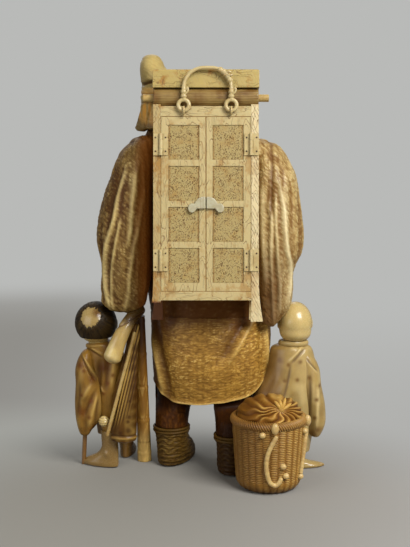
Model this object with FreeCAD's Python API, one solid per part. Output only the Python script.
import FreeCAD, Part
import math
import os
from FreeCAD import Matrix, Placement, Rotation, Vector

# A carved table ornament: a travelling pedlar seen from behind with a cabinet on the back,
# a boy at each side and a basket at the heels. Millimetres, +X to the viewer's right,
# +Y the way the pedlar faces, +Z up. The origin is under the middle of the group, on the table.
# Pieces are carved separately, pegged and glued face to face. Only the cabinet's doors and
# its carrying handle move.

# Clearances
seat_gap = 0.05
swing_gap = 0.25
door_seam_gap = 0.4
overrun = 2.0

# Heights of the pedlar's main joints
ankle_height = 17.1
hem_height = 29.5
waist_height = 64.0
collar_height = 147.0

# The coat: rows are height, centre x, centre y, width and depth, as shares of the piece's own size
skirt_x = 4.4
skirt_y = 15.0
skirt_width = 52.0
skirt_depth = 42.0
skirt_shares = (
    (0.00, 0.000, 0.020, 0.900, 0.930),
    (0.20, 0.000, 0.010, 0.950, 0.970),
    (0.42, 0.002, 0.000, 0.975, 1.000),
    (0.75, 0.008, 0.007, 1.000, 0.960),
    (1.00, 0.000, 0.024, 1.000, 0.860),
)
hem_side_rise = 10.0
hem_reach = 28.0
hem_middle_x = 5.5
trunk_x = 0.5
trunk_y = 20.0
trunk_width = 56.0
trunk_depth = 35.0
trunk_shares = (
    (0.000, 0.057, -0.114, 0.886, 1.000),
    (0.145, 0.036, -0.086, 0.911, 0.971),
    (0.313, 0.018, -0.043, 0.946, 1.000),
    (0.494, 0.000, 0.000, 0.982, 1.000),
    (0.675, -0.009, 0.043, 1.000, 0.943),
    (0.807, -0.018, 0.071, 0.946, 0.857),
    (0.892, -0.054, 0.086, 0.786, 0.743),
    (0.952, -0.107, 0.086, 0.643, 0.629),
    (1.000, -0.223, 0.071, 0.357, 0.457),
)
sleeve_width = 23.0
sleeve_depth = 31.0
sleeve_x = 31.7
sleeve_y = 10.0
left_sleeve_bottom = 67.5
left_sleeve_height = 75.0
left_sleeve_shares = (
    (0.000, 0.022, -0.161, 0.390, 0.323),
    (0.033, -0.022, -0.161, 0.696, 0.516),
    (0.113, -0.020, -0.129, 0.865, 0.710),
    (0.273, 0.009, -0.065, 0.939, 0.903),
    (0.407, -0.026, -0.030, 1.026, 0.980),
    (0.540, 0.000, 0.000, 0.991, 1.000),
    (0.673, 0.065, 0.032, 0.896, 0.968),
    (0.780, 0.139, 0.065, 0.800, 0.910),
    (0.860, 0.204, 0.097, 0.739, 0.839),
    (0.917, 0.265, 0.130, 0.652, 0.750),
    (0.960, 0.343, 0.165, 0.530, 0.620),
    (1.000, 0.391, 0.194, 0.348, 0.387),
)
right_sleeve_bottom = 61.5
right_sleeve_height = 79.5
right_sleeve_shares = (
    (0.000, -0.061, -0.226, 0.130, 0.161),
    (0.031, -0.074, -0.210, 0.287, 0.290),
    (0.107, -0.017, -0.161, 0.596, 0.484),
    (0.195, -0.022, -0.120, 0.735, 0.660),
    (0.296, -0.039, -0.080, 0.796, 0.810),
    (0.396, 0.013, -0.050, 0.983, 0.930),
    (0.484, 0.022, -0.016, 1.039, 1.000),
    (0.585, 0.004, 0.008, 1.026, 1.000),
    (0.686, -0.030, 0.035, 0.983, 0.960),
    (0.811, -0.070, 0.068, 0.900, 0.900),
    (0.874, -0.117, 0.100, 0.804, 0.820),
    (0.941, -0.187, 0.145, 0.665, 0.660),
    (0.972, -0.248, 0.165, 0.543, 0.540),
    (1.000, -0.326, 0.194, 0.348, 0.323),
)

# Legs and straw boots
leg_width = 17.0
leg_depth = 17.0
leg_tenon = 12.0
left_leg_top = (-10.8, 14.0)
right_leg_top = (14.0, 11.5)
leg_shares = (
    (0.00, 0.83, 0.86),
    (0.20, 0.86, 0.90),
    (0.50, 0.98, 1.00),
    (1.00, 1.00, 1.04),
)
boot_width = 14.6
boot_length = 28.0
boot_shares = (
    (0.00, 0.0, 0.00, 0.94, 0.97),
    (0.14, 0.0, 0.00, 1.00, 1.00),
    (0.40, 0.0, -0.06, 0.98, 0.88),
    (0.62, 0.0, -0.17, 0.95, 0.66),
    (0.82, 0.0, -0.22, 0.95, 0.55),
    (1.00, 0.0, -0.23, 0.97, 0.54),
)
left_boot_x = -10.5
left_boot_y = 15.4
left_boot_turn = -18.0
right_boot_x = 15.1
right_boot_y = 2.2
right_boot_turn = -12.0
boot_tie_height = 2.4
boot_tie_stand = 0.9
boot_tie_clearance = 0.12

# Head and hood
head_x = -15.2
head_y = 24.5
head_z = 157.5
head_width = 16.8
head_depth = 20.0
head_height = 20.0
neck_radius = 5.6
neck_foot_x = -9.5
neck_foot_y = 22.5
neck_foot_z = 139.0
hood_x = -16.1
hood_y = 20.5
hood_bottom = 144.5
hood_width = 23.0
hood_depth = 23.0
hood_height = 32.0
hood_shares = (
    (0.000, -0.030, 0.000, 1.000, 0.957),
    (0.172, 0.010, 0.000, 0.910, 0.983),
    (0.390, 0.035, 0.000, 0.860, 1.000),
    (0.578, 0.026, 0.000, 0.830, 0.983),
    (0.700, -0.040, 0.009, 0.720, 0.896),
    (0.812, -0.170, 0.022, 0.480, 0.740),
    (0.920, -0.200, 0.043, 0.365, 0.520),
    (0.980, -0.205, 0.055, 0.235, 0.320),
    (1.000, -0.200, 0.057, 0.120, 0.160),
)
face_window_ahead = 11.5
face_window_width = 15.5
face_window_depth = 18.0
face_window_height = 20.0

# Hands, straps, collar and staff
hand_length = 21.0
hand_width = 8.2
hand_depth = 6.2
hand_shares = (
    (0.00, 0.0, 0.0, 0.96, 1.00),
    (0.30, 0.0, 0.0, 0.84, 0.92),
    (0.45, 0.0, 0.0, 0.90, 0.90),
    (0.70, 0.0, 0.0, 1.00, 0.86),
    (0.92, 0.0, 0.0, 0.92, 0.66),
    (1.00, 0.0, 0.0, 0.60, 0.36),
)
wrist_x = 33.0
wrist_y = 14.5
wrist_z = 84.0
hand_pitch = 120.0
hand_yaw = 14.0
staff_top = (-25.6, 5.0, 66.0)
staff_foot = (-24.6, 12.6, 0.0)
staff_top_radius = 2.0
staff_foot_radius = 3.1
crook_route = ((-25.8, 4.0, 69.0), (-29.6, -1.5, 65.3), (-33.4, -4.4, 58.6), (-36.6, -6.0, 50.6))
crook_radii = (2.6, 2.7, 3.2, 3.8)

# Cabinet, in its own frame: x across, y into the cabinet from its front face, z up from its feet
cabinet_x = 2.5
cabinet_y = -24.2
cabinet_z = 68.9
cabinet_lean = 8.0
case_width = 42.2
case_depth = 22.0
case_bottom = 8.5
case_top = 86.2
case_wall = 1.4
post_width = 2.95
post_depth = 3.0
post_rise = 0.7
foot_flare = 1.7
foot_flare_height = 17.0
broken_foot_height = 7.6
foot_inner_shift = 0.2
top_rail_height = 4.1
bottom_rail_height = 3.5

# Doors and their panels
door_thickness = 2.0
door_outer_stile = 2.9
door_inner_stile = 2.45
panel_recess = 0.9
panel_thickness = 0.55
door_head_rail = 3.2
door_foot_rail = 3.3
door_cross_rail = 2.5
panel_rows = 4
door_travel = 110.0

# Hinges
hinge_height = 8.7
hinge_leaf_thickness = 0.45
hinge_leaf_reach = 2.7
knuckle_radius = 0.75
pin_radius = 0.35
running_gap = 0.05
hinge_end_knuckle = 2.6
upper_hinge_z = 70.8
lower_hinge_z = 24.5
nail_radius = 0.26
nail_head_radius = 0.38
nail_head_height = 0.14
nail_length = 1.3
nail_inset = 0.85
nail_row_inset = 1.6

# Latch bar across the doors' meeting stiles
latch_z = 45.4
latch_half_span = 5.6
latch_seam_gap = 0.36
latch_lobe_radius = 1.7
latch_thickness = 1.25
latch_rise = 4.9
latch_waist = 1.5
latch_band_width = 3.4
latch_band_stand = 0.4
latch_stud_radius = 0.8
latch_stud_length = 0.8

# Rolled mat, its rod and the lid box over it
roll_radius = 3.75
rod_radius = 1.5
rod_stand = 4.2
lid_height = 7.4
lid_overhang = 0.3
lid_front_inset = 0.7
lid_edge_radius = 0.9
support_depth = 9.0
support_inset = 2.0

# Carrying handle
handle_shift = 0.6
handle_half_span = 9.5
handle_out = 1.2
staple_drop = 2.0
staple_radius = 1.45
staple_wire = 0.42
ring_radius = 2.3
ring_wire = 0.62
binding_radius = 1.1
binding_length = 4.0
bail_wire = 0.72
bail_corner_radius = 8.0
knot_radius = 1.3
knot_start_turn = 22.0
knot_end_turn = 72.0
handle_travel = 168.0

# Boy at the left, with a shaved crown
left_boy_head_x = -44.8
left_boy_head_y = 8.0
left_boy_head_z = 62.6
left_boy_head_width = 17.2
left_boy_head_depth = 17.6
left_boy_head_height = 17.6
hair_thickness = 0.4
hair_crown_radius = 5.0
hair_crown_tilt = 62.0
hair_crown_turn = 14.0
left_robe_x = -38.5
left_robe_y = 12.0
left_robe_bottom = 12.2
left_robe_height = 43.4
left_robe_width = 20.0
left_robe_depth = 22.0
left_robe_shares = (
    (0.00, 0.110, 0.00, 0.820, 0.90),
    (0.20, 0.080, 0.00, 0.880, 0.96),
    (0.50, 0.000, -0.01, 0.980, 1.00),
    (0.78, -0.120, -0.05, 0.920, 0.82),
    (0.93, -0.200, -0.10, 0.620, 0.60),
    (1.00, -0.250, -0.14, 0.400, 0.42),
)
left_boy_sleeve_x = -48.0
left_boy_sleeve_y = 5.5
left_boy_sleeve_bottom = 13.9
left_boy_sleeve_height = 37.6
left_boy_sleeve_width = 11.8
left_boy_sleeve_depth = 12.5
left_boy_sleeve_shares = (
    (0.00, -0.139, -0.12, 0.262, 0.34),
    (0.05, -0.115, -0.10, 0.443, 0.55),
    (0.15, -0.061, -0.06, 0.730, 0.78),
    (0.33, 0.004, 0.00, 0.992, 0.98),
    (0.60, -0.004, 0.02, 0.943, 1.00),
    (0.80, -0.107, 0.04, 0.720, 0.86),
    (0.92, -0.094, 0.06, 0.467, 0.66),
    (1.00, -0.033, 0.08, 0.246, 0.42),
)
fist_x = -41.0
fist_y = -1.6
fist_z = 21.6
fist_radius = 2.3
switch_radius = 0.75
switch_top = (-27.6, -3.0, 60.0)
switch_foot = (-39.3, -4.6, 16.6)
cane_radius = 0.95
cane_top = (-49.8, 5.6, 17.4)
cane_foot = (-50.9, 7.4, 0.0)
drape_x = -32.0
drape_y = -0.2
drape_bottom = 11.8
drape_height = 52.0
drape_width = 11.4
drape_depth = 8.0
drape_shares = (
    (0.00, -0.080, 0.04, 0.960, 0.90),
    (0.20, -0.050, 0.02, 0.960, 1.00),
    (0.40, 0.010, 0.00, 0.880, 1.00),
    (0.58, 0.120, 0.00, 0.680, 0.90),
    (0.76, 0.240, 0.00, 0.480, 0.76),
    (0.90, 0.340, 0.02, 0.420, 0.60),
    (1.00, 0.400, 0.04, 0.360, 0.50),
)

# Boy at the right, with a bare head
right_boy_head_x = 40.9
right_boy_head_y = 9.0
right_boy_head_z = 62.6
ear_share = 0.16
right_boy_head_width = 14.6
right_boy_head_depth = 16.8
right_boy_head_height = 17.8
right_robe_x = 40.0
right_robe_y = 10.0
right_robe_bottom = 4.6
right_robe_height = 49.4
right_robe_width = 21.0
right_robe_depth = 19.0
right_robe_shares = (
    (0.00, -0.050, 0.00, 0.860, 0.88),
    (0.30, 0.000, 0.00, 0.950, 0.98),
    (0.62, 0.020, 0.00, 1.000, 1.00),
    (0.86, 0.000, -0.02, 0.920, 0.80),
    (0.96, -0.020, -0.04, 0.600, 0.60),
    (1.00, -0.020, -0.05, 0.420, 0.46),
)
right_boy_sleeve_x = 48.6
right_boy_sleeve_y = 7.0
right_boy_sleeve_bottom = 12.5
right_boy_sleeve_height = 38.0
right_boy_sleeve_width = 9.0
right_boy_sleeve_depth = 12.5
right_boy_sleeve_shares = (
    (0.00, 0.133, -0.16, 0.280, 0.34),
    (0.05, 0.122, -0.14, 0.556, 0.55),
    (0.13, 0.156, -0.10, 0.778, 0.76),
    (0.33, 0.100, -0.04, 1.000, 0.96),
    (0.61, -0.089, 0.00, 1.000, 1.00),
    (0.82, -0.189, 0.06, 0.933, 0.86),
    (0.93, -0.344, 0.09, 0.750, 0.74),
    (1.00, -0.467, 0.10, 0.480, 0.54),
)

# The boys' bare feet
foot_length = 17.2
foot_width = 6.6
shin_width = 5.8
foot_height = 11.0
shin_tenon = 4.0
foot_shares = (
    (0.00, 0.0, 0.00, 0.92, 0.97),
    (0.14, 0.0, 0.00, 1.00, 1.00),
    (0.32, 0.0, -0.08, 0.92, 0.84),
    (0.52, 0.0, -0.26, 0.86, 0.44),
    (0.75, 0.0, -0.29, 0.90, 0.38),
    (1.00, 0.0, -0.29, 0.98, 0.42),
)
left_near_foot = (-43.4, 5.4, 68.0)
left_far_foot = (-32.5, 23.0, -8.0)
right_near_foot = (45.4, 3.4, -80.0)
right_far_foot = (35.2, 15.5, -20.0)

# Basket
basket_x = 28.1
basket_y = -21.45
basket_top = 27.5
basket_top_radius = 14.8
basket_side_radius = 13.3
basket_side_height = 5.0
basket_foot_radius = 8.6
basket_recess = 3.5
basket_wall = 2.2
rim_wire = 1.85
rim_inset = 0.9
bundle_top = 37.4
bundle_shares = (
    (0.00, 0.0, 0.0, 1.00, 1.00),
    (0.27, 0.0, 0.0, 1.00, 1.00),
    (0.45, 0.0, 0.0, 1.06, 1.06),
    (0.68, 0.0, 0.0, 0.98, 0.98),
    (0.87, 0.0, 0.0, 0.76, 0.78),
    (1.00, 0.0, 0.0, 0.36, 0.40),
)
tie_wire = 1.0
tie_bead = 1.25
tie_lift_share = 0.45
toggle_radius = 1.5
toggle_length = 4.6
front_tie_shares = ((0.13, 0.88), (-0.11, 0.58), (-0.06, 0.32))
front_hook_shares = ((-0.06, 0.32), (0.10, 0.17), (0.30, 0.24))
side_tie_shares = ((1.40, 0.88), (1.27, 0.60), (1.12, 0.28))
bead_shares = ((-0.22, 0.93), (0.36, 0.45), (0.46, 0.30), (1.20, 0.90), (1.12, 0.22))
toggle_shares = (0.10, 1.38)

# Pegs that join the separately carved blocks
peg_radius = 1.5
peg_length = 12.0
cabinet_peg_heights = (24.0, 70.0)

PIECES = {}


def add(name, *solids):
    """Files one named piece, or a group of like pieces, for export."""
    PIECES[name] = Part.makeCompound(list(solids)) if len(solids) > 1 else solids[0]


def standing_rod(foot, top, foot_radius, top_radius):
    """A round stick cut level with the table at its foot."""
    start = Vector(*foot)
    along = (Vector(*top) - start).normalize()
    below = start - along * overrun
    stick = rod(below, top, foot_radius, top_radius)
    span = case_width
    table = block(
        start.x - span, start.x + span, start.y - span, start.y + span, below.z - overrun, 0
    )
    return one(stick.cut(table))


def section(centre, width, depth):
    """A closed level curve of the given width and depth, through eight points of an ellipse."""
    points = []
    for step in range(8):
        angle = 2 * math.pi * step / 8
        offset = Vector(width / 2 * math.cos(angle), depth / 2 * math.sin(angle), 0)
        points.append(centre + offset)
    curve = Part.BSplineCurve()
    curve.interpolate(Points=points, PeriodicFlag=True)
    return Part.Wire([curve.toShape()])


def stacked(x, y, z, width, depth, height, shares):
    """A carved mass lofted through level sections. The rows are shares of its own size."""
    wires = []
    for up, across, back, wide, deep in shares:
        centre = Vector(x + across * width, y + back * depth, z + up * height)
        wires.append(section(centre, wide * width, deep * depth))
    return Part.makeLoft(wires, True, False)


def egg(x, y, z, width, depth, height):
    """A ball stretched to the given width, depth and height about its centre."""
    stretch = Matrix()
    stretch.scale(width / 2, depth / 2, height / 2)
    ball = Part.makeSphere(1).transformGeometry(stretch)
    ball.translate(Vector(x, y, z))
    return ball


def rod(foot, top, foot_radius, top_radius):
    """A straight round bar, or a cone, between two points."""
    start = Vector(*foot)
    along = Vector(*top) - start
    if abs(foot_radius - top_radius) < 1e-6:
        return Part.makeCylinder(foot_radius, along.Length, start, along)
    return Part.makeCone(foot_radius, top_radius, along.Length, start, along)


def block(x0, x1, y0, y1, z0, z1):
    """A plain box between two corners."""
    return Part.makeBox(x1 - x0, y1 - y0, z1 - z0, Vector(x0, y0, z0))


def one(shape):
    """The largest solid of a shape, which drops the crumbs that a cut can leave."""
    return max(shape.Solids, key=lambda solid: solid.Volume)


def lean(shape):
    """Moves a shape from the cabinet's frame to where the cabinet hangs on the back."""
    placed = shape.copy()
    tilt = Rotation(Vector(1, 0, 0), -cabinet_lean)
    placed.Placement = Placement(Vector(cabinet_x, cabinet_y, cabinet_z), tilt).multiply(shape.Placement)
    return placed


def add_leaned(name, *solids):
    add(name, *[lean(solid) for solid in solids])


def mirrored(shape):
    """The same shape on the cabinet's other side."""
    return shape.mirror(Vector(0, 0, 0), Vector(1, 0, 0))


def routed(route, radii):
    """A smooth tapering limb through the points of a route, with a radius at each."""
    points = [Vector(*point) for point in route]
    rings = []
    for index, (centre, radius) in enumerate(zip(points, radii)):
        before = points[max(index - 1, 0)]
        after = points[min(index + 1, len(points) - 1)]
        rings.append(Part.Wire([Part.Circle(centre, after - before, radius).toShape()]))
    return Part.makeLoft(rings, True, False)


def tube(points, radius):
    """A round wire along an arc through three points."""
    arc = Part.Arc(*points)
    start = arc.value(arc.FirstParameter)
    along = arc.tangent(arc.FirstParameter)[0]
    ring = Part.Wire([Part.Circle(start, along, radius).toShape()])
    path = Part.Wire([arc.toShape()])
    return path.makePipeShell([ring], True, False)


# Cabinet sizes that follow from the ones above
case_half = case_width / 2
post_inner = case_half - post_width
door_reach = post_inner - swing_gap
door_bottom = case_bottom + bottom_rail_height + swing_gap
door_top = case_top - top_rail_height - swing_gap
door_height = door_top - door_bottom
hinge_axis_x = post_inner - swing_gap / 2
hinge_axis_y = -knuckle_radius - swing_gap / 2
lid_bottom = case_top + 2 * roll_radius + seat_gap
roll_z = case_top + roll_radius + seat_gap / 2
roll_y = roll_radius + swing_gap
pivot_z = case_top - staple_drop
ring_z = pivot_z + ring_radius
binding_z = ring_z + ring_radius
rim_radius = basket_top_radius - rim_inset
bundle_radius = basket_top_radius - basket_wall


def front_post(foot_z):
    """A right-hand corner post whose outer edge flares in an arc down to its foot."""
    flare_end = case_half + foot_flare
    middle = Vector(case_half + foot_flare / 4, 0, foot_flare_height / 2)
    top = case_top + post_rise
    inner = post_inner - foot_inner_shift
    edges = [
        Part.Arc(Vector(flare_end, 0, 0), middle, Vector(case_half, 0, foot_flare_height)).toShape(),
        Part.makeLine(Vector(case_half, 0, foot_flare_height), Vector(case_half, 0, top)),
        Part.makeLine(Vector(case_half, 0, top), Vector(post_inner, 0, top)),
        Part.makeLine(Vector(post_inner, 0, top), Vector(post_inner, 0, case_bottom)),
        Part.makeLine(Vector(post_inner, 0, case_bottom), Vector(inner, 0, 0)),
        Part.makeLine(Vector(inner, 0, 0), Vector(flare_end, 0, 0)),
    ]
    outline = Part.Face(Part.Wire(edges))
    post = outline.extrude(Vector(0, post_depth, 0))
    reach = case_width
    return post.cut(block(-reach, reach, -overrun, post_depth + overrun, -overrun, foot_z))


def case_parts():
    """Posts, hollow carcass and the two front rails."""
    right = front_post(0)
    left = mirrored(front_post(broken_foot_height))
    rear = front_post(0)
    rear.translate(Vector(0, case_depth - post_depth, 0))
    rear_left = mirrored(rear)
    side = case_half - seat_gap
    shell = block(-side, side, post_depth, case_depth, case_bottom, case_top)
    hollow = block(
        -side + case_wall, side - case_wall,
        post_depth - overrun, case_depth - case_wall,
        case_bottom + case_wall, case_top - case_wall,
    )
    shell = shell.cut(hollow).cut(rear).cut(rear_left)
    top_rail = block(-post_inner, post_inner, 0, post_depth, case_top - top_rail_height, case_top)
    bottom_rail = block(
        -post_inner, post_inner, 0, post_depth, case_bottom, case_bottom + bottom_rail_height
    )
    return left, right, rear_left, rear, one(shell), top_rail, bottom_rail


def panel_spans():
    """Bottom and top of each sunk panel, from the door's rails."""
    clear = door_height - door_head_rail - door_foot_rail - (panel_rows - 1) * door_cross_rail
    tall = clear / panel_rows
    pitch = tall + door_cross_rail
    start = door_bottom + door_foot_rail
    return [(start + row * pitch, start + row * pitch + tall) for row in range(panel_rows)]


def right_door_parts():
    """One door with its sunk panels, to the right of the meeting line."""
    inner = door_seam_gap / 2
    slab = block(inner, door_reach, 0, door_thickness, door_bottom, door_top)
    panels = []
    for low, high in panel_spans():
        x0 = inner + door_inner_stile
        x1 = door_reach - door_outer_stile
        slab = slab.cut(block(x0, x1, -overrun, panel_recess, low, high))
        face = panel_recess - panel_thickness
        panels.append(block(
            x0 + seat_gap, x1 - seat_gap, face, panel_recess, low + seat_gap, high - seat_gap
        ))
    return slab, panels


def nail(x, z):
    """A round-headed nail driven into the front face."""
    face = -hinge_leaf_thickness
    shank = Part.makeCylinder(nail_radius, nail_length, Vector(x, face, z), Vector(0, 1, 0))
    head = Part.makeCone(
        nail_head_radius, nail_radius, nail_head_height, Vector(x, face, z), Vector(0, -1, 0)
    )
    return shank.fuse(head).removeSplitter()


def right_hinge(z):
    """Fixed leaf, moving leaf, pin and nails of one butt hinge on the right-hand side."""
    low = z - hinge_height / 2
    high = z + hinge_height / 2
    thick = hinge_leaf_thickness
    middle_low = low + hinge_end_knuckle
    middle_high = high - hinge_end_knuckle
    axis = Vector(hinge_axis_x, hinge_axis_y, low)
    up = Vector(0, 0, 1)
    barrel = Part.makeCylinder(knuckle_radius, hinge_height, axis, up)
    sweep = Part.makeCylinder(knuckle_radius + swing_gap, hinge_height, axis, up)
    wide = hinge_axis_x + hinge_leaf_reach
    middle = block(-wide, wide, -overrun, overrun, middle_low, middle_high)
    middle_clear = block(
        -wide, wide, -overrun, overrun, middle_low - running_gap, middle_high + running_gap
    )
    fixed_end = case_half - seat_gap
    fixed = block(hinge_axis_x, fixed_end, -thick, 0, low, high)
    fixed = fixed.cut(sweep.common(middle_clear)).fuse(barrel.cut(middle_clear))
    moving = block(hinge_axis_x - hinge_leaf_reach, hinge_axis_x, -thick, 0, low, high)
    moving = moving.cut(sweep.cut(middle)).fuse(barrel.common(middle))
    moving = moving.cut(block(hinge_axis_x, wide, -overrun, overrun, low, middle_low))
    moving = moving.cut(block(hinge_axis_x, wide, -overrun, overrun, middle_high, high))
    fixed = fixed.cut(block(0, hinge_axis_x - knuckle_radius, -overrun, overrun, low, high))
    pin = Part.makeCylinder(pin_radius, hinge_height, axis, up)
    bore = Part.makeCylinder(pin_radius + running_gap, hinge_height, axis, up)
    rows = (low + nail_row_inset, high - nail_row_inset)
    fixed_nails = [nail(fixed_end - nail_inset, row) for row in rows]
    moving_nails = [nail(hinge_axis_x - hinge_leaf_reach + nail_inset, row) for row in rows]
    for one_nail in fixed_nails:
        fixed = fixed.cut(one_nail)
    for one_nail in moving_nails:
        moving = moving.cut(one_nail)
    return one(fixed.cut(bore)), one(moving.cut(bore)), pin, fixed_nails, moving_nails


def latch():
    """The half of the arched lock plate that the right-hand door carries, held by a stud."""
    front = -latch_thickness
    left = -latch_half_span
    right = latch_half_span
    lobe = latch_lobe_radius
    crown = latch_z + latch_rise
    outer = Part.Arc(
        Vector(left - lobe / 2, front, latch_z + lobe / 2),
        Vector(0, front, crown),
        Vector(right + lobe / 2, front, latch_z + lobe / 2),
    )
    inner = Part.Arc(
        Vector(right - lobe / 2, front, latch_z - lobe / 2),
        Vector(0, front, latch_z + latch_waist),
        Vector(left + lobe / 2, front, latch_z - lobe / 2),
    )
    edges = [
        outer.toShape(),
        Part.makeLine(outer.EndPoint, inner.StartPoint),
        inner.toShape(),
        Part.makeLine(inner.EndPoint, outer.StartPoint),
    ]
    body = Part.Face(Part.Wire(edges)).extrude(Vector(0, latch_thickness, 0))
    inward = Vector(0, 1, 0)
    body = body.fuse(Part.makeCylinder(lobe, latch_thickness, Vector(right, front, latch_z), inward))
    band = block(
        -latch_band_width / 2, latch_band_width / 2, front - latch_band_stand, 0,
        latch_z + latch_waist - latch_band_stand, crown + latch_band_stand,
    )
    stud = Part.makeCylinder(latch_stud_radius, latch_stud_length, Vector(right, 0, latch_z), inward)
    other_half = block(
        left - case_width, latch_seam_gap / 2, front - case_width, case_width, 0, case_top
    )
    return one(body.fuse(band).fuse(stud).removeSplitter().cut(other_half))


def roof_parts():
    """Rolled mat on its rod, the support behind it and the lid box over both."""
    along = Vector(1, 0, 0)
    mat = Part.makeCylinder(roll_radius, case_width, Vector(-case_half, roll_y, roll_z), along)
    bore = Part.makeCylinder(
        rod_radius + seat_gap, case_width + overrun, Vector(-case_half - overrun / 2, roll_y, roll_z), along
    )
    rod_length = case_width + 2 * rod_stand
    bar = Part.makeCylinder(rod_radius, rod_length, Vector(-rod_length / 2, roll_y, roll_z), along)
    support = block(
        -case_half + support_inset, case_half - support_inset,
        case_depth - support_depth - support_inset, case_depth - support_inset,
        case_top, lid_bottom,
    )
    side = case_half + lid_overhang
    lid = block(-side, side, lid_front_inset, case_depth, lid_bottom, lid_bottom + lid_height)
    ridge = [edge for edge in lid.Edges if edge.BoundBox.ZMin > lid_bottom + lid_edge_radius]
    lid = lid.makeFillet(lid_edge_radius, ridge)
    return mat.cut(bore), bar, support, lid


def handle_parts():
    """Staples on the top rail, and the rings, bindings and bail that swing on them."""
    staples = []
    rings = []
    bindings = []
    out = -handle_out
    across = Vector(1, 0, 0)
    ends = (handle_shift - handle_half_span, handle_shift + handle_half_span)
    for x in ends:
        eye = Part.makeTorus(staple_radius, staple_wire, Vector(x, out, pivot_z), across)
        staples.append(one(eye.cut(block(x - overrun, x + overrun, 0, overrun, 0, lid_bottom))))
        rings.append(Part.makeTorus(ring_radius, ring_wire, Vector(x, out, ring_z), Vector(0, 1, 0)))
    foot = binding_z + ring_wire
    bend = bail_corner_radius
    shoulder = foot + binding_length
    crown = shoulder + bend
    diagonal = bend * math.sin(math.radians(45))
    left, right = ends
    path = Part.Wire([
        Part.makeLine(Vector(left, out, foot), Vector(left, out, shoulder)),
        Part.Arc(
            Vector(left, out, shoulder),
            Vector(left + bend - diagonal, out, shoulder + diagonal),
            Vector(left + bend, out, crown),
        ).toShape(),
        Part.makeLine(Vector(left + bend, out, crown), Vector(right - bend, out, crown)),
        Part.Arc(
            Vector(right - bend, out, crown),
            Vector(right - bend + diagonal, out, shoulder + diagonal),
            Vector(right, out, shoulder),
        ).toShape(),
        Part.makeLine(Vector(right, out, shoulder), Vector(right, out, foot)),
    ])
    ring = Part.Wire([Part.Circle(Vector(left, out, foot), Vector(0, 0, 1), bail_wire).toShape()])
    bail = path.makePipeShell([ring], True, False)
    for x in ends:
        base = Vector(x, out, foot)
        wrap = Part.makeCylinder(binding_radius, binding_length, base, Vector(0, 0, 1))
        bore = Part.makeCylinder(bail_wire, binding_length, base, Vector(0, 0, 1))
        bindings.append(wrap.cut(bore))
    turns = [knot_start_turn, (knot_start_turn + knot_end_turn) / 2, knot_end_turn]
    bends = []
    for turn in turns:
        angle = math.radians(turn)
        bends.append(Vector(
            right - bend + bend * math.sin(angle), out, shoulder + bend * math.cos(angle)
        ))
    bindings.append(tube(bends, knot_radius).cut(tube(bends, bail_wire)))
    return staples, rings, bindings, bail


def boot(x, y, turn):
    """A straw boot whose toe is turned about its sole's middle."""
    shape = stacked(0, 0, 0, boot_width, boot_length, ankle_height, boot_shares)
    shape.rotate(Vector(0, 0, 0), Vector(0, 0, 1), turn)
    shape.translate(Vector(x, y, 0))
    return shape


def ankle(x, y, turn):
    """Where a boot's top is centred."""
    back = boot_shares[-1][2] * boot_length
    angle = math.radians(turn)
    return x - back * math.sin(angle), y + back * math.cos(angle)


def boot_tie(x, y, turn):
    """The cord round a boot's top, as a band that follows the boot's oval."""
    bands = []
    for lift in (boot_tie_clearance, boot_tie_stand):
        wide = boot_width * boot_shares[-1][3] + 2 * lift
        deep = boot_length * boot_shares[-1][4] + 2 * lift
        back = boot_shares[-1][2] * boot_length / deep
        outline = section(Vector(0, back * deep, ankle_height - boot_tie_height), wide, deep)
        band = Part.Face(outline).extrude(Vector(0, 0, boot_tie_height))
        band.rotate(Vector(0, 0, 0), Vector(0, 0, 1), turn)
        band.translate(Vector(x, y, 0))
        bands.append(band)
    return one(bands[1].cut(bands[0]))


def leg(x, y, turn, top):
    """A shin from its boot's top up into the coat, with the places of both ends."""
    cx, cy = ankle(x, y, turn)
    height = hem_height + leg_tenon - ankle_height
    across = (top[0] - cx) / leg_width
    back = (top[1] - cy) / leg_depth
    shares = [(up, up * across, up * back, wide, deep) for up, wide, deep in leg_shares]
    return stacked(cx, cy, ankle_height, leg_width, leg_depth, height, shares)


def hem_void():
    """What lies under the coat's hem, which is lowest in the middle and rises to both sides."""
    side = hem_height + hem_side_rise
    left = hem_middle_x - hem_reach
    right = hem_middle_x + hem_reach
    low = hem_height - hem_side_rise
    front = skirt_y - skirt_depth
    crest = Part.Arc(
        Vector(left, front, side), Vector(hem_middle_x, front, hem_height), Vector(right, front, side)
    )
    edges = [
        crest.toShape(),
        Part.makeLine(Vector(right, front, side), Vector(right, front, low)),
        Part.makeLine(Vector(right, front, low), Vector(left, front, low)),
        Part.makeLine(Vector(left, front, low), Vector(left, front, side)),
    ]
    return Part.Face(Part.Wire(edges)).extrude(Vector(0, 2 * skirt_depth, 0))


def bare_foot(place, hem):
    """A boy's foot and shin, up into the robe. Place is x, y and the toe's turn."""
    x, y, turn = place
    height = hem + shin_tenon
    shape = stacked(0, 0, 0, foot_width, foot_length, height, foot_shares)
    shape.rotate(Vector(0, 0, 0), Vector(0, 0, 1), turn)
    shape.translate(Vector(x, y, 0))
    return shape


def hand(side):
    """A hand from its wrist in the sleeve, reaching forwards and down. Side is -1 or 1."""
    shape = stacked(0, 0, 0, hand_width, hand_depth, hand_length, hand_shares)
    shape.rotate(Vector(0, 0, 0), Vector(1, 0, 0), -hand_pitch)
    shape.rotate(Vector(0, 0, 0), Vector(0, 0, 1), side * hand_yaw)
    shape.translate(Vector(side * wrist_x, wrist_y, wrist_z))
    return shape


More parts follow.
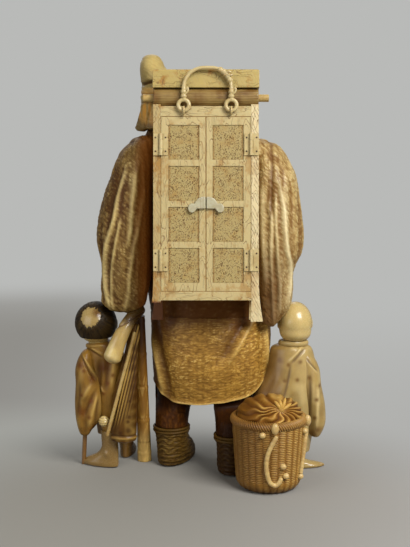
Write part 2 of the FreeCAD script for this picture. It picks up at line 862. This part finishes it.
def wall_point(turn, up_share, lift):
    """A point on the basket's side, turned from the front by an angle in radians."""
    z = up_share * basket_top
    slope = (basket_top_radius - basket_side_radius) / (basket_top - basket_side_height)
    radius = basket_side_radius + slope * (z - basket_side_height) + lift
    return Vector(basket_x + radius * math.sin(turn), basket_y - radius * math.cos(turn), z)


def seated_on(shape, turn, radius):
    """The part of a bead that stands out past a flat tangent to the basket at the given radius."""
    span = basket_top_radius
    inside = block(-span, span, -radius, span, -basket_top, 2 * basket_top)
    inside.rotate(Vector(0, 0, 0), Vector(0, 0, 1), math.degrees(turn))
    inside.translate(Vector(basket_x, basket_y, 0))
    return one(shape.cut(inside))


def basket_parts():
    """Turned basket body with a recess for the bundle, its rope rim, the bundle and the ties."""
    corner = basket_side_radius - basket_foot_radius
    middle = Vector(
        basket_foot_radius + corner * math.sin(math.radians(45)), 0,
        basket_side_height * (1 - math.cos(math.radians(45))),
    )
    side = Vector(basket_side_radius, 0, basket_side_height)
    edges = [
        Part.makeLine(Vector(0, 0, 0), Vector(basket_foot_radius, 0, 0)),
        Part.Arc(Vector(basket_foot_radius, 0, 0), middle, side).toShape(),
        Part.makeLine(side, Vector(basket_top_radius, 0, basket_top)),
        Part.makeLine(Vector(basket_top_radius, 0, basket_top), Vector(bundle_radius, 0, basket_top)),
        Part.makeLine(
            Vector(bundle_radius, 0, basket_top), Vector(bundle_radius, 0, basket_top - basket_recess)
        ),
        Part.makeLine(
            Vector(bundle_radius, 0, basket_top - basket_recess), Vector(0, 0, basket_top - basket_recess)
        ),
        Part.makeLine(Vector(0, 0, basket_top - basket_recess), Vector(0, 0, 0)),
    ]
    body = Part.Face(Part.Wire(edges)).revolve(Vector(0, 0, 0), Vector(0, 0, 1), 360)
    body.translate(Vector(basket_x, basket_y, 0))
    foot = basket_top - basket_recess
    wide = 2 * (bundle_radius - seat_gap)
    bundle = stacked(basket_x, basket_y, foot, wide, wide, bundle_top - foot, bundle_shares)
    bundle = one(bundle.cut(body))
    up = Vector(0, 0, 1)
    rim = Part.makeTorus(rim_radius, rim_wire, Vector(basket_x, basket_y, basket_top + rim_wire / 2), up)
    rim = one(rim.cut(body).cut(bundle))
    lift = tie_wire * tie_lift_share
    ties = []
    for shares in (front_tie_shares, front_hook_shares, side_tie_shares):
        ties.append(tube([wall_point(turn, up_share, lift) for turn, up_share in shares], tie_wire))
    ties = [one(ties[0].fuse(ties[1])), ties[2]]
    seated = [one(piece.cut(body).cut(rim)) for piece in ties]
    middle = Vector(basket_x, basket_y, 0)
    for turn, up_share in bead_shares:
        bead = Part.makeSphere(tie_bead, wall_point(turn, up_share, lift))
        above = wall_point(turn, up_share + tie_bead / basket_top, seat_gap)
        seated.append(seated_on(bead, turn, math.hypot(above.x - middle.x, above.y - middle.y)))
    edge = rim_radius + rim_wire
    for turn in toggle_shares:
        outward = Vector(math.sin(turn), -math.cos(turn), 0)
        centre = Vector(basket_x, basket_y, basket_top + rim_wire / 2) + outward * edge
        peg = egg(centre.x, centre.y, centre.z, 2 * toggle_radius, 2 * toggle_radius, toggle_length)
        seated.append(seated_on(peg, turn, edge + seat_gap))
    return body, rim, bundle, seated


def build():
    """Makes every piece, each cut back to what it is seated on."""
    left_post, right_post, rear_left, rear_right, shell, top_rail, bottom_rail = case_parts()
    right_slab, right_panels = right_door_parts()
    left_slab = mirrored(right_slab)
    left_panels = [mirrored(panel) for panel in right_panels]
    staples, rings, bindings, bail = handle_parts()
    mat, bar, support, lid = roof_parts()
    right_latch = latch()
    left_latch = mirrored(right_latch)

    leaves, pins, case_nails = [], [], []
    right_leaves, left_leaves, right_nails, left_nails = [], [], [], []
    for z in (upper_hinge_z, lower_hinge_z):
        fixed, moving, pin, fixed_nails, moving_nails = right_hinge(z)
        leaves += [fixed, mirrored(fixed)]
        pins += [pin, mirrored(pin)]
        case_nails += fixed_nails + [mirrored(one_nail) for one_nail in fixed_nails]
        right_leaves.append(moving)
        left_leaves.append(mirrored(moving))
        right_nails += moving_nails
        left_nails += [mirrored(one_nail) for one_nail in moving_nails]
    for one_nail in case_nails:
        left_post = left_post.cut(one_nail)
        right_post = right_post.cut(one_nail)
    for one_nail in right_nails:
        right_slab = right_slab.cut(one_nail)
    for one_nail in left_nails:
        left_slab = left_slab.cut(one_nail)
    left_post = left_post.cut(mat)
    right_post = right_post.cut(mat)
    right_slab = right_slab.cut(right_latch)
    left_slab = left_slab.cut(left_latch)
    right_panels = [panel.cut(right_latch) for panel in right_panels]
    left_panels = [panel.cut(left_latch) for panel in left_panels]

    cabinet_pegs = []
    for z in cabinet_peg_heights:
        start = Vector(0, case_depth - case_wall, z)
        cabinet_pegs.append(Part.makeCylinder(peg_radius, peg_length, start, Vector(0, 1, 0)))
    for peg in cabinet_pegs:
        shell = shell.cut(peg)

    add_leaned("case_shell", one(shell))
    add_leaned("front_left_post", left_post)
    add_leaned("front_right_post", right_post)
    add_leaned("rear_posts", rear_left, rear_right)
    add_leaned("case_rails", top_rail, bottom_rail)
    add_leaned("left_door", left_slab)
    add_leaned("right_door", right_slab)
    add_leaned("left_door_panels", *left_panels)
    add_leaned("right_door_panels", *right_panels)
    add_leaned("case_hinge_leaves", *leaves)
    add_leaned("hinge_pins", *pins)
    add_leaned("case_hinge_nails", *case_nails)
    add_leaned("left_door_hinge_leaves", *left_leaves)
    add_leaned("right_door_hinge_leaves", *right_leaves)
    add_leaned("left_door_nails", *left_nails)
    add_leaned("right_door_nails", *right_nails)
    add_leaned("right_latch_half", right_latch)
    add_leaned("left_latch_half", left_latch)
    add_leaned("rolled_mat", mat)
    add_leaned("mat_rod", bar)
    add_leaned("lid_support", support)
    add_leaned("lid_box", lid)
    add_leaned("handle_staples", *staples)
    add_leaned("handle_rings", *rings)
    add_leaned("handle_bindings", *bindings)
    add_leaned("handle_bail", bail)

    envelope = lean(block(
        -case_half, case_half, 0, case_depth, case_bottom, lid_bottom + lid_height
    ))
    rod_envelope = lean(Part.makeCylinder(
        rod_radius + seat_gap, case_width + 2 * rod_stand + 2 * seat_gap,
        Vector(-case_half - rod_stand - seat_gap, roll_y, roll_z), Vector(1, 0, 0),
    ))
    placed_pegs = [lean(peg) for peg in cabinet_pegs]
    placed_posts = [lean(rear_left), lean(rear_right)]

    left_boot = boot(left_boot_x, left_boot_y, left_boot_turn)
    right_boot = boot(right_boot_x, right_boot_y, right_boot_turn)
    left_leg = leg(left_boot_x, left_boot_y, left_boot_turn, left_leg_top)
    right_leg = leg(right_boot_x, right_boot_y, right_boot_turn, right_leg_top)
    ties = [
        boot_tie(left_boot_x, left_boot_y, left_boot_turn),
        boot_tie(right_boot_x, right_boot_y, right_boot_turn),
    ]

    skirt = stacked(
        skirt_x, skirt_y, hem_height, skirt_width, skirt_depth, waist_height - hem_height, skirt_shares
    )
    skirt = one(skirt.cut(hem_void())).cut(left_leg).cut(right_leg)
    trunk = stacked(
        trunk_x, trunk_y, waist_height, trunk_width, trunk_depth, collar_height - waist_height, trunk_shares
    )
    trunk = trunk.cut(envelope)
    for shape in placed_pegs + placed_posts:
        trunk = trunk.cut(shape)
        skirt = skirt.cut(shape)

    head = egg(head_x, head_y, head_z, head_width, head_depth, head_height)
    neck = rod((neck_foot_x, neck_foot_y, neck_foot_z), (head_x, head_y, head_z), neck_radius, neck_radius)
    head = head.fuse(neck)
    trunk = trunk.cut(neck)
    hood = stacked(hood_x, hood_y, hood_bottom, hood_width, hood_depth, hood_height, hood_shares)
    window = egg(
        head_x, head_y + face_window_ahead, head_z, face_window_width, face_window_depth, face_window_height
    )
    hood = one(hood.cut(head).cut(window).cut(envelope).cut(rod_envelope).cut(trunk))
    neck_start = Vector(neck_foot_x, neck_foot_y, neck_foot_z)
    neck_line = (Vector(head_x, head_y, head_z) - neck_start).normalize()
    neck_peg = Part.makeCylinder(peg_radius, peg_length, neck_start - neck_line * (peg_length / 2), neck_line)
    head = head.cut(neck_peg)
    trunk = trunk.cut(neck_peg)

    left_sleeve = stacked(
        -sleeve_x, sleeve_y, left_sleeve_bottom, sleeve_width, sleeve_depth, left_sleeve_height,
        left_sleeve_shares,
    )
    left_sleeve = left_sleeve.cut(trunk).cut(envelope).cut(hood)
    right_sleeve = stacked(
        sleeve_x, sleeve_y, right_sleeve_bottom, sleeve_width, sleeve_depth, right_sleeve_height,
        right_sleeve_shares,
    )
    right_sleeve = right_sleeve.cut(trunk).cut(envelope)
    for shape in placed_posts:
        left_sleeve = left_sleeve.cut(shape)
        right_sleeve = right_sleeve.cut(shape)
    left_sleeve = one(left_sleeve)
    right_sleeve = one(right_sleeve)
    skirt = one(skirt.cut(left_sleeve).cut(right_sleeve))

    add("coat_skirt", skirt)
    add("left_leg", left_leg)
    add("right_leg", right_leg)
    add("left_boot", left_boot)
    add("right_boot", right_boot)
    add("boot_ties", *ties)
    add("pedlar_head", one(head))
    add("hood", hood)
    add("left_sleeve", left_sleeve)
    add("right_sleeve", right_sleeve)

    left_hand = one(hand(-1).cut(left_sleeve).cut(trunk))
    right_hand = one(hand(1).cut(right_sleeve).cut(trunk))
    add("coat_trunk", one(trunk))
    add("joining_pegs", *placed_pegs, neck_peg)

    left_feet = [bare_foot(place, left_robe_bottom) for place in (left_near_foot, left_far_foot)]
    left_robe = stacked(
        left_robe_x, left_robe_y, left_robe_bottom, left_robe_width, left_robe_depth, left_robe_height,
        left_robe_shares,
    )
    for foot in left_feet:
        left_robe = left_robe.cut(foot)
    left_head = egg(
        left_boy_head_x, left_boy_head_y, left_boy_head_z,
        left_boy_head_width, left_boy_head_depth, left_boy_head_height,
    )
    left_robe = left_robe.cut(left_head).cut(skirt).cut(left_sleeve)
    left_boy_sleeve = stacked(
        left_boy_sleeve_x, left_boy_sleeve_y, left_boy_sleeve_bottom,
        left_boy_sleeve_width, left_boy_sleeve_depth, left_boy_sleeve_height, left_boy_sleeve_shares,
    )
    left_boy_sleeve = one(left_boy_sleeve.cut(left_robe).cut(left_head))
    left_robe = one(left_robe)
    left_head = one(left_head.cut(left_sleeve))
    hair = egg(
        left_boy_head_x, left_boy_head_y, left_boy_head_z,
        left_boy_head_width + 2 * hair_thickness, left_boy_head_depth + 2 * hair_thickness,
        left_boy_head_height + 2 * hair_thickness,
    ).cut(left_head)
    crown = Part.makeCylinder(hair_crown_radius, left_boy_head_height)
    crown.rotate(Vector(0, 0, 0), Vector(1, 0, 0), hair_crown_tilt)
    crown.rotate(Vector(0, 0, 0), Vector(0, 0, 1), -hair_crown_turn)
    crown.translate(Vector(left_boy_head_x, left_boy_head_y, left_boy_head_z))
    face_side = left_boy_head_depth / 5
    face = block(
        left_boy_head_x - left_boy_head_width, left_boy_head_x + left_boy_head_width,
        left_boy_head_y + face_side, left_boy_head_y + left_boy_head_depth,
        left_boy_head_z - left_boy_head_height, left_boy_head_z + left_boy_head_height,
    )
    hair = hair.cut(crown).cut(face).cut(left_robe).cut(left_boy_sleeve).cut(left_sleeve)
    fist = egg(fist_x, fist_y, fist_z, 2 * fist_radius, 2 * fist_radius, 2 * fist_radius)
    switch = rod(switch_foot, switch_top, switch_radius, switch_radius)
    fist = fist.cut(left_robe).cut(left_boy_sleeve)
    cane = standing_rod(cane_foot, cane_top, cane_radius, cane_radius).cut(left_boy_sleeve)
    for foot in left_feet:
        cane = cane.cut(foot)
    staff = standing_rod(staff_foot, staff_top, staff_foot_radius, staff_top_radius)
    staff = staff.cut(left_sleeve).cut(skirt).cut(left_robe)
    crook = one(routed(crook_route, crook_radii).cut(left_sleeve).cut(left_head).cut(hair))
    staff = one(staff.cut(crook))
    drape = stacked(
        drape_x, drape_y, drape_bottom, drape_width, drape_depth, drape_height, drape_shares
    )
    drape = one(drape.cut(left_robe).cut(crook).cut(staff).cut(left_sleeve))
    drape = drape.cut(left_head)
    for foot in left_feet:
        drape = drape.cut(foot)
    switch = one(switch.cut(drape).cut(left_robe).cut(crook).cut(staff).cut(left_sleeve).cut(fist))

    add("left_hand", left_hand)
    add("right_hand", right_hand)
    add("staff", staff)
    add("staff_crook", crook)
    add("left_boy_drape", one(drape))
    add("left_boy_feet", *left_feet)
    add("left_boy_robe", left_robe)
    add("left_boy_sleeve", left_boy_sleeve)
    add("left_boy_head", left_head)
    add("left_boy_hair", one(hair))
    add("left_boy_fist", one(fist))
    add("switch_stick", switch)
    add("left_boy_cane", one(cane))

    right_feet = [bare_foot(place, right_robe_bottom) for place in (right_near_foot, right_far_foot)]
    right_robe = stacked(
        right_robe_x, right_robe_y, right_robe_bottom, right_robe_width, right_robe_depth,
        right_robe_height, right_robe_shares,
    )
    for foot in right_feet:
        right_robe = right_robe.cut(foot)
    right_head = egg(
        right_boy_head_x, right_boy_head_y, right_boy_head_z,
        right_boy_head_width, right_boy_head_depth, right_boy_head_height,
    )
    right_robe = right_robe.cut(right_head).cut(skirt).cut(right_boot).cut(right_sleeve)
    right_boy_sleeve = stacked(
        right_boy_sleeve_x, right_boy_sleeve_y, right_boy_sleeve_bottom,
        right_boy_sleeve_width, right_boy_sleeve_depth, right_boy_sleeve_height, right_boy_sleeve_shares,
    )
    right_boy_sleeve = one(right_boy_sleeve.cut(right_robe).cut(right_head))
    right_robe = one(right_robe)
    right_head = one(right_head.cut(right_sleeve))
    ears = []
    ear_reach = right_boy_head_width * ear_share
    for side in (-1, 1):
        cheek = right_boy_head_x + side * right_boy_head_width / 2
        level = right_boy_head_z - ear_reach
        ear = rod(
            (cheek - side * ear_reach, right_boy_head_y, level),
            (cheek + side * ear_reach / 2, right_boy_head_y, level),
            ear_reach, ear_reach / 2,
        )
        ears.append(one(ear.cut(right_head).cut(skirt)))
    add("right_boy_feet", *right_feet)
    add("right_boy_robe", right_robe)
    add("right_boy_sleeve", right_boy_sleeve)
    add("right_boy_head", right_head)
    add("right_boy_ears", *ears)

    body, rim, bundle, seated = basket_parts()
    add("basket_body", body)
    add("basket_rim", rim)
    add("basket_bundle", bundle)
    add("basket_ties", *seated)


def export():
    """Writes one file per named piece and prints the whole object's box."""
    os.makedirs("parts", exist_ok=True)
    for name, shape in PIECES.items():
        shape.exportStep(os.path.join("parts", name + ".step"))
        if not shape.isValid():
            print("not valid:", name)
    whole = Part.makeCompound(list(PIECES.values()))
    box = whole.BoundBox
    print("box", round(box.XMin, 2), round(box.XMax, 2), round(box.YMin, 2), round(box.YMax, 2),
          round(box.ZMin, 2), round(box.ZMax, 2), "pieces", len(PIECES), "volume", round(whole.Volume))


build()
export()
